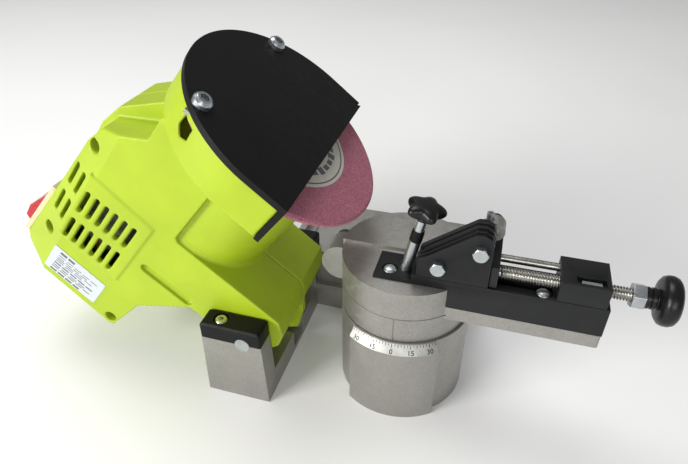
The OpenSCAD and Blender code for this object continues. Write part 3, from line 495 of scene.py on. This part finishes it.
def make_clamp_knob():
    """Five-lobed hand knob with a domed top and a waisted hub, bored for its stud."""
    centre = Vector(joints["clamp_turn"]["pos_m"])
    along = Vector(joints["clamp_turn"]["axis"]).normalized()
    low, high = span("clamp_knob", along, centre)
    rings = []
    for share, radius, lobe in KNOB_PROFILE:
        place = centre + along * (low + (high - low) * share)
        rings.append(turned_ring(place, along, Y_AXIS.cross(along), 60,
                                 lambda a: radius * MM * (1 + lobe * math.cos(KNOB_LOBES * (a - KNOB_TURN)))))
    points, faces = rings_to_mesh(rings)
    piece = mesh_piece("clamp_knob_form", points, faces, "clamp_knob", "black_knob",
                       stands_for=("clamp_knob",))
    modify(piece, "SUBSURF", levels=2, render_levels=2)


make_clamp_knob()


# bevelled protractor strip: foot and top of its cone about the turntable's axis, and its zero mark
strip_low, strip_high = (Vector(c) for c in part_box("angle_scale"))
STRIP_FOOT_R = TABLE_AXIS.y - strip_low.y
STRIP_TOP_R = STRIP_FOOT_R - 2.95 * MM
ZERO_MARK = math.radians(-88.7)


def strip_frame(angle, up_share):
    """Point on the strip, with its directions along the arc, up the bevel and outwards."""
    out = Vector((math.cos(angle), math.sin(angle), 0))
    along = Vector((-math.sin(angle), math.cos(angle), 0))
    foot = Vector((TABLE_AXIS.x, TABLE_AXIS.y, strip_low.z)) + out * STRIP_FOOT_R
    rise = out * (STRIP_TOP_R - STRIP_FOOT_R) + Vector((0, 0, strip_high.z - strip_low.z))
    up = rise.normalized()
    return foot + rise * up_share, along, up, along.cross(up)


PRINT_LIFT = 0.02 * MM
TICK_LIFT = 0.03 * MM


def add_bar(points, faces, centre, along, up, out, length, height, lift=PRINT_LIFT):
    """Adds one printed or engraved bar, a shallow block on a surface, to a mesh in the making."""
    first = len(points)
    for depth in (-lift, lift):
        for a, b in ((-1, -1), (1, -1), (1, 1), (-1, 1)):
            points.append(centre + along * (a * length / 2) + up * (b * height / 2) + out * depth)
    faces.extend(tuple(first + k for k in f) for f in
                 ((4, 5, 6, 7), (0, 1, 5, 4), (1, 2, 6, 5), (2, 3, 7, 6), (3, 0, 4, 7), (3, 2, 1, 0)))


TICK_STEP = 2.5
SCALE_REACH = 35


def make_scale_marks():
    """Ticks every 2.5 degrees on the protractor strip, longer at 5 and at 15, with a number at every 15."""
    points, faces = [], []
    reach = int(SCALE_REACH / TICK_STEP)
    for i in range(-reach, reach + 1):
        tall = 1.9 if i % 6 == 0 else (1.4 if i % 2 == 0 else 1.0)
        centre, along, up, out = strip_frame(ZERO_MARK + math.radians(TICK_STEP * i), 1.0)
        add_bar(points, faces, centre - up * (tall / 2 + 0.15) * MM, along, up, out, 0.3 * MM, tall * MM,
                TICK_LIFT)
    mesh_piece("scale_ticks", points, faces, "base", "scale_strip", "ink", is_smooth=False)
    for value in (-30, -15, 0, 15, 30):
        side = "left" if value < 0 else "right"
        make_number(f"scale_number_{side}_{abs(value)}", str(abs(value)),
                    *strip_frame(ZERO_MARK + math.radians(value), 0.08))


def make_number(name, text, centre, along, up, out):
    """A number of the protractor scale, standing on the strip."""
    curve = bpy.data.curves.new(name, "FONT")
    curve.body = text
    curve.align_x = "CENTER"
    curve.size = 3.3 * MM
    curve.offset = 0.05 * MM
    curve.extrude = TICK_LIFT
    writer = bpy.data.objects.new(name + "_text", curve)
    bpy.context.scene.collection.objects.link(writer)
    bpy.context.view_layer.update()
    flat = bpy.data.meshes.new_from_object(writer.evaluated_get(bpy.context.evaluated_depsgraph_get()))
    bpy.data.objects.remove(writer)
    points = [centre + along * v.co.x + up * v.co.y + out * v.co.z for v in flat.vertices]
    faces = [tuple(p.vertices) for p in flat.polygons]
    mesh_piece(name, points, faces, "base", "scale_strip", "ink", is_smooth=False)


make_scale_marks()


# rating plate: its lean in the head's frame, the middle of its print and the rows of the print,
# each with its place up the plate, its height and its length in millimetres
PLATE_LEAN = math.radians(90 - 4.3)
PLATE_MIDDLE = (-55.5, 0, 87)
PLATE_HALF = 13
PLATE_ROWS = (
    (8.4, 1.5, 20), (5.9, 0.7, 26), (4.3, 0.7, 22), (2.2, 1.1, 26), (0.2, 0.6, 18), (-1.3, 0.6, 24),
    (-2.8, 0.6, 20), (-4.6, 0.6, 26), (-7.2, 1.9, 10),
)


def make_plate_print():
    """Rows of plain grey bars where a rating plate is printed."""
    out = -Y_AXIS
    along = HEAD.to_3x3() @ Vector((math.cos(PLATE_LEAN), 0, math.sin(PLATE_LEAN))) * -1
    up = out.cross(along) * -1
    centre = head_point(*PLATE_MIDDLE)
    centre.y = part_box("rating_plate")[0][1]
    points, faces = [], []
    for at, height, length in PLATE_ROWS:
        words = max(2, length // 5)
        share = length / words
        for k in range(words):
            shift = -PLATE_HALF + share * (k + 0.5)
            add_bar(points, faces, centre + up * at * MM + along * shift * MM, along, up, out,
                    share * 0.82 * MM, height * MM)
    mesh_piece("plate_print", points, faces, "head", "plate_film", "grey_ink", is_smooth=False)


make_plate_print()


# wheel label, in millimetres: radius and width of its printed rings, radius of its circle of bars
LABEL_RINGS = ((29.2, 0.7), (17.5, 0.4))
LABEL_BARS_R = 23.5


def make_label_print():
    """Two printed rings and a circle of short bars on the card label of the wheel."""
    middle = WHEEL_POINT + WHEEL_AXIS * span("wheel_label", WHEEL_AXIS, WHEEL_POINT)[1]
    points, faces = [], []

    def add_label_bar(angle, radius, length, width):
        out = head_spoke(angle)
        add_bar(points, faces, middle + out * radius * MM, WHEEL_AXIS.cross(out), out, WHEEL_AXIS,
                length * MM, width * MM)

    count = 72
    for radius, width in LABEL_RINGS:
        for k in range(count):
            add_label_bar(FULL_TURN * (k + 0.5) / count, radius, FULL_TURN * radius / count, width)
    for k in range(30):
        # two bars in ten are left out, as gaps between words
        if k % 10 < 8:
            add_label_bar(FULL_TURN * k / 30, LABEL_BARS_R, 3.6, 2.6 if k % 3 else 3.8)
    mesh_piece("label_print", points, faces, "spindle", "label_paper", "grey_ink", is_smooth=False)


make_label_print()


# motor windings, in millimetres: radius of the ring, half height and half width of its bundle, which
# swells by a share at the front and at the rear
WINDING_R = 20.5
WINDING_HALF = (3.6, 2.6)
WINDING_SWELL = 0.16


def make_windings():
    """Two bundles of enamelled wire around the stator's ends, seen through the vents."""
    shaft = Vector(joints["motor_spin"]["pos_m"])
    sides, turns = 14, 48
    for name, at in (("front", 4.0), ("rear", -33.5)):
        middle = shaft + WHEEL_AXIS * (head_point(at, 0, 0) - shaft).dot(WHEEL_AXIS)
        points, faces = [], []
        for i in range(turns):
            angle = FULL_TURN * i / turns
            out = head_spoke(angle)
            bulge = 1 + WINDING_SWELL * abs(math.cos(angle))
            for j in range(sides):
                side = FULL_TURN * j / sides
                points.append(middle + out * (WINDING_R + WINDING_HALF[0] * bulge * math.cos(side)) * MM
                              + WHEEL_AXIS * WINDING_HALF[1] * bulge * math.sin(side) * MM)
        for i in range(turns):
            for j in range(sides):
                a, b = i * sides, (i + 1) % turns * sides
                k = (j + 1) % sides
                faces.append((a + j, b + j, b + k, a + k))
        mesh_piece("winding_" + name, points, faces, "head", "copper", "winding")


make_windings()


# ---------------------------------------------------------------- stage

FLOOR_REACH = 6.0


def area_light(name, place, aim, size, power, colour=(1, 1, 1)):
    """A rectangular soft light at a place in metres, aimed at a point, with its power in watts."""
    data = bpy.data.lights.new(name, "AREA")
    data.shape = "RECTANGLE"
    data.size, data.size_y = size
    data.energy = power
    data.color = colour
    lamp = bpy.data.objects.new(name, data)
    lamp.location = place
    lamp.rotation_euler = (Vector(aim) - Vector(place)).to_track_quat("-Z", "Y").to_euler()
    bpy.context.scene.collection.objects.link(lamp)


def make_stage():
    """A plain pale floor under soft studio light."""
    mesh = bpy.data.meshes.new("floor")
    corners = [(x * FLOOR_REACH, y * FLOOR_REACH, 0) for x, y in ((-1, -1), (1, -1), (1, 1), (-1, 1))]
    mesh.from_pydata(corners, [], [(0, 1, 2, 3)])
    floor = bpy.data.objects.new("floor", mesh)
    bpy.context.scene.collection.objects.link(floor)
    n = Nodes("floor_paper")
    tone = n.ramp(n.noise(3, 2), ((0.3, (0.86, 0.86, 0.86)), (0.7, (0.90, 0.90, 0.90))))
    mesh.materials.append(n.finish(tone, None, n.bump(n.noise(900, 2), 0.05, 0.02 * MM), Roughness=0.9))
    world = bpy.data.worlds.new("studio")
    world.use_nodes = True
    sky = world.node_tree.nodes["Background"]
    sky.inputs["Color"].default_value = (1.0, 1.0, 1.0, 1)
    sky.inputs["Strength"].default_value = 0.30
    bpy.context.scene.world = world
    area_light("key", (-1.0, -1.15, 0.62), (0, 0, 0.08), (0.8, 0.6), 25, (1.0, 0.985, 0.95))
    area_light("front", (0.45, -1.4, 0.6), (0, 0, 0.06), (0.9, 0.6), 7, (0.98, 0.99, 1.0))
    area_light("top", (-0.3, 0.3, 1.2), (0.0, 0, 0.05), (0.7, 0.7), 7)
    # plain colour management, so that the plastic keeps its saturated green
    bpy.context.scene.view_settings.view_transform = "Standard"


# camera: how far it looks down, turns to the left and leans, in degrees, its place from the foot of
# the turntable's axis in metres, and its lens in millimetres
CAMERA_TURNS = (35.2, 16.7, -0.3)
CAMERA_PLACE = Vector((0.0331, -0.2185, 0.2454))
CAMERA_LENS = 29.61


def make_camera():
    """Looks at the machine from the front, from above and from a little to the right."""
    pitch, yaw, roll = (math.radians(a) for a in CAMERA_TURNS)
    ahead = Vector((-math.sin(yaw) * math.cos(pitch), math.cos(yaw) * math.cos(pitch), -math.sin(pitch)))
    level = Vector((math.cos(yaw), math.sin(yaw), 0))
    upright = level.cross(ahead)
    right = math.cos(roll) * level + math.sin(roll) * upright
    up = math.cos(roll) * upright - math.sin(roll) * level
    data = bpy.data.cameras.new("camera")
    data.sensor_width = 36
    data.lens = CAMERA_LENS
    data.clip_start = 0.005
    camera = bpy.data.objects.new("camera", data)
    turn = Matrix((right, up, -ahead)).transposed().to_4x4()
    foot = Vector((TABLE_AXIS.x, TABLE_AXIS.y, 0))
    camera.matrix_world = Matrix.Translation(foot + CAMERA_PLACE) @ turn
    bpy.context.scene.collection.objects.link(camera)
    bpy.context.scene.camera = camera


make_stage()
make_camera()
